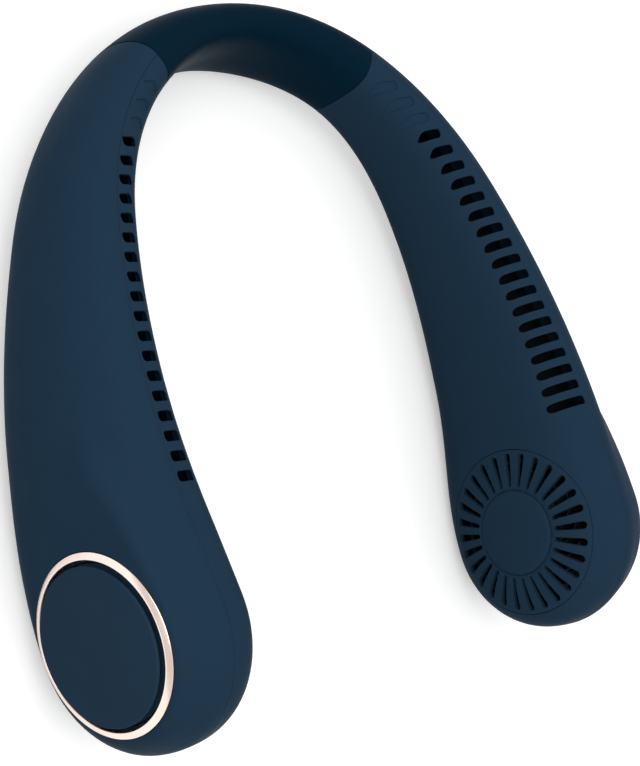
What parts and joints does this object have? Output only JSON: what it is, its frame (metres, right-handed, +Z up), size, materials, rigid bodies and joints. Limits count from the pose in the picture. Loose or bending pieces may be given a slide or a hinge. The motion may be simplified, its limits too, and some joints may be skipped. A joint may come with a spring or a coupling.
{
  "type": "neck fan",
  "caption": "U-shaped bladeless neck fan with a flexible neck sleeve, slotted arms and a double-inlet fan in each end.",
  "frame": {"origin": "on the ground, at the middle of the fan's width and depth", "axes": "+X to the right as seen from the open end of the U, which is the wearer's left, -Y towards the open end, +Z up"},
  "size_m": [0.2128, 0.1956, 0.0611],
  "materials": {
    "navy_shell": "moulded ABS with a satin navy lacquer",
    "navy_cap": "moulded ABS with a satin navy lacquer",
    "sleeve_silicone": "moulded silicone, smooth satin",
    "rose_trim": "turned and anodised rose gold, with a bright bevel",
    "black_plastic": "moulded ABS, fine texture",
    "fan_plastic": "moulded nylon",
    "spring_steel": "hardened strip, blued",
    "plated_steel": "zinc plated",
    "shaft_steel": "ground",
    "bearing_bronze": "sintered",
    "copper_winding": "enamelled wire",
    "ferrite": "pressed and sintered",
    "motor_board": "solder mask",
    "circuit_board": "solder mask",
    "battery_foil": "laminated pouch",
    "wire_jacket": "PVC jacket",
    "port_steel": "drawn shell",
    "light_pipe": "milky polycarbonate"
  },
  "bodies": {
    "neck": {"neck_sleeve": "sleeve_silicone", "neck_spring_strip": "spring_steel", "neck_harness": "wire_jacket"},
    "left_arm": {"left_neck_plug": "black_plastic", "left_outer_shell": "navy_shell", "left_inner_shell": "navy_shell", "left_intake_grille": "navy_shell", "left_trim_ring": "rose_trim", "left_outer_cap": "navy_cap", "left_fan_housing": "black_plastic", "left_motor_screws": "plated_steel", "left_motor_base": "motor_board", "left_stator": "copper_winding", "left_bearing": "bearing_bronze", "left_air_guide": "black_plastic", "left_battery": "battery_foil"},
    "right_arm": {"right_neck_plug": "black_plastic", "right_outer_shell": "navy_shell", "right_inner_shell": "navy_shell", "right_intake_grille": "navy_shell", "right_trim_ring": "rose_trim", "right_outer_cap": "navy_cap", "right_fan_housing": "black_plastic", "right_motor_screws": "plated_steel", "right_motor_base": "motor_board", "right_stator": "copper_winding", "right_bearing": "bearing_bronze", "right_air_guide": "black_plastic", "right_battery": "battery_foil", "main_board": "circuit_board", "usb_c_port": "port_steel", "button_switch": "black_plastic", "light_guide": "light_pipe"},
    "left_fan": {"left_impeller": "fan_plastic", "left_rotor_cup": "plated_steel", "left_magnet_ring": "ferrite", "left_shaft": "shaft_steel"},
    "right_fan": {"right_impeller": "fan_plastic", "right_rotor_cup": "plated_steel", "right_magnet_ring": "ferrite", "right_shaft": "shaft_steel"},
    "power_button": {"power_button": "navy_cap"}
  },
  "joints": [
    {"name": "left_arm_flex", "type": "hinge", "parent": "neck", "child": "left_arm", "pos_m": [-0.02367, 0.08707, 0.01546], "axis": [0, -0.1959, -0.9806], "range_deg": [-8, 15], "stiffness_Nm_per_rad": 0.6, "deforming": ["neck_sleeve", "neck_spring_strip", "neck_harness"]},
    {"name": "right_arm_flex", "type": "hinge", "parent": "neck", "child": "right_arm", "pos_m": [0.02367, 0.08707, 0.01546], "axis": [0, 0.1959, 0.9806], "range_deg": [-8, 15], "stiffness_Nm_per_rad": 0.6, "deforming": ["neck_sleeve", "neck_spring_strip", "neck_harness"]},
    {"name": "left_fan_spin", "type": "hinge", "parent": "left_arm", "child": "left_fan", "pos_m": [-0.08903, -0.06766, 0.03098], "axis": [-0.9977, -0.0667, 0.0133], "continuous": true},
    {"name": "right_fan_spin", "type": "hinge", "parent": "right_arm", "child": "right_fan", "pos_m": [0.08903, -0.06766, 0.03098], "axis": [0.9977, -0.0667, 0.0133], "continuous": true},
    {"name": "power_button_press", "type": "slide", "parent": "right_arm", "child": "power_button", "axis": [-0.9934, -0.1127, 0.0225], "range_m": [0, 0.0006], "stiffness_N_per_m": 800, "springref_m": -0.0003}
  ]
}
